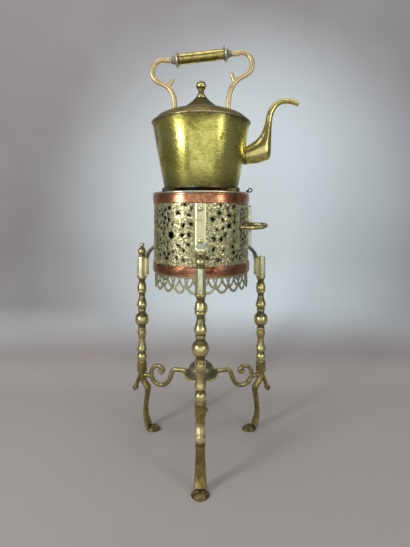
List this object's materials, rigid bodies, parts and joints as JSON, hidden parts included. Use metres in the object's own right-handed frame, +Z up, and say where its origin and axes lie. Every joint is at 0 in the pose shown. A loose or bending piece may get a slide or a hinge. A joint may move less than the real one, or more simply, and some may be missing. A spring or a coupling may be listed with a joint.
{
  "type": "spirit kettle on stand",
  "caption": "Brass kettle with a swan-neck spout and scrolled bail handle, over a pierced gallery drum with a hinged door and inner burner, on turned legs joined by a scrolled stretcher.",
  "frame": {"origin": "on the vertical axis of the stand, at floor level", "axes": "+Z up along the axis of the drum and kettle, +X along the spout, -Y to the front, where one leg stands in the middle"},
  "size_m": [0.3428, 0.3253, 0.7871],
  "materials": {
    "kettle_brass": "brushed, aged, scratched",
    "pale_brass": "worn bright",
    "gallery_brass": "aged, greenish",
    "leg_brass": "polished, dark in the hollows",
    "dark_brass": "tarnished",
    "copper": "aged copper",
    "white_metal": "dull plated",
    "iron": "dull",
    "cotton": "woven cotton"
  },
  "bodies": {
    "stand": {"gallery_sheet": "gallery_brass", "top_band": "copper", "low_band": "copper", "rim_wire": "gallery_brass", "skirt": "gallery_brass", "burner_shelf": "gallery_brass", "kettle_rests": "gallery_brass", "rim_lug": "iron", "frame_leaf": "leg_brass", "hinge_pin": "iron", "strap_rivets": "leg_brass", "tie_rods": "iron", "boss": "dark_brass", "boss_screw": "iron", "strap_front": "leg_brass", "post_front": "leg_brass", "baluster_front": "leg_brass", "foot_front": "dark_brass", "arm_front": "dark_brass", "finial_front": "leg_brass", "strap_right": "leg_brass", "post_right": "leg_brass", "baluster_right": "leg_brass", "foot_right": "dark_brass", "arm_right": "dark_brass", "strap_back": "leg_brass", "post_back": "leg_brass", "baluster_back": "leg_brass", "foot_back": "dark_brass", "arm_back": "dark_brass", "finial_back": "leg_brass", "strap_left": "leg_brass", "post_left": "leg_brass", "baluster_left": "leg_brass", "foot_left": "dark_brass", "arm_left": "dark_brass", "finial_left": "leg_brass"},
    "door": {"door_panel": "gallery_brass", "door_strip": "gallery_brass", "door_leaf": "gallery_brass", "pull_loop": "dark_brass"},
    "kettle": {"kettle_body": "kettle_brass", "kettle_base": "kettle_brass", "kettle_shoulder": "kettle_brass", "seam_bead": "kettle_brass", "neck_ring": "kettle_brass", "spout": "kettle_brass", "scroll_spout_side": "pale_brass", "scroll_far_side": "pale_brass", "ferrule_spout_side": "white_metal", "ferrule_far_side": "white_metal", "grip_sleeve": "pale_brass", "grip_rod": "iron", "handle_studs": "iron"},
    "lid": {"lid_cover": "kettle_brass", "lid_collar": "kettle_brass", "lid_knob": "kettle_brass"},
    "burner": {"burner_font": "gallery_brass", "burner_collar": "gallery_brass", "wick": "cotton"}
  },
  "joints": [
    {"name": "door_hinge", "type": "hinge", "parent": "stand", "child": "door", "pos_m": [0.09704, -0.00339, 0.426], "axis": [0, 0, 1], "range_deg": [0, 100]},
    {"name": "kettle_lift", "type": "slide", "parent": "stand", "child": "kettle", "axis": [0, 0, 1], "range_m": [0, 0.08]},
    {"name": "lid_lift", "type": "slide", "parent": "kettle", "child": "lid", "axis": [0, 0, 1], "range_m": [0, 0.024]},
    {"name": "burner_lift", "type": "slide", "parent": "stand", "child": "burner", "axis": [0, 0, 1], "range_m": [0, 0.06]}
  ]
}
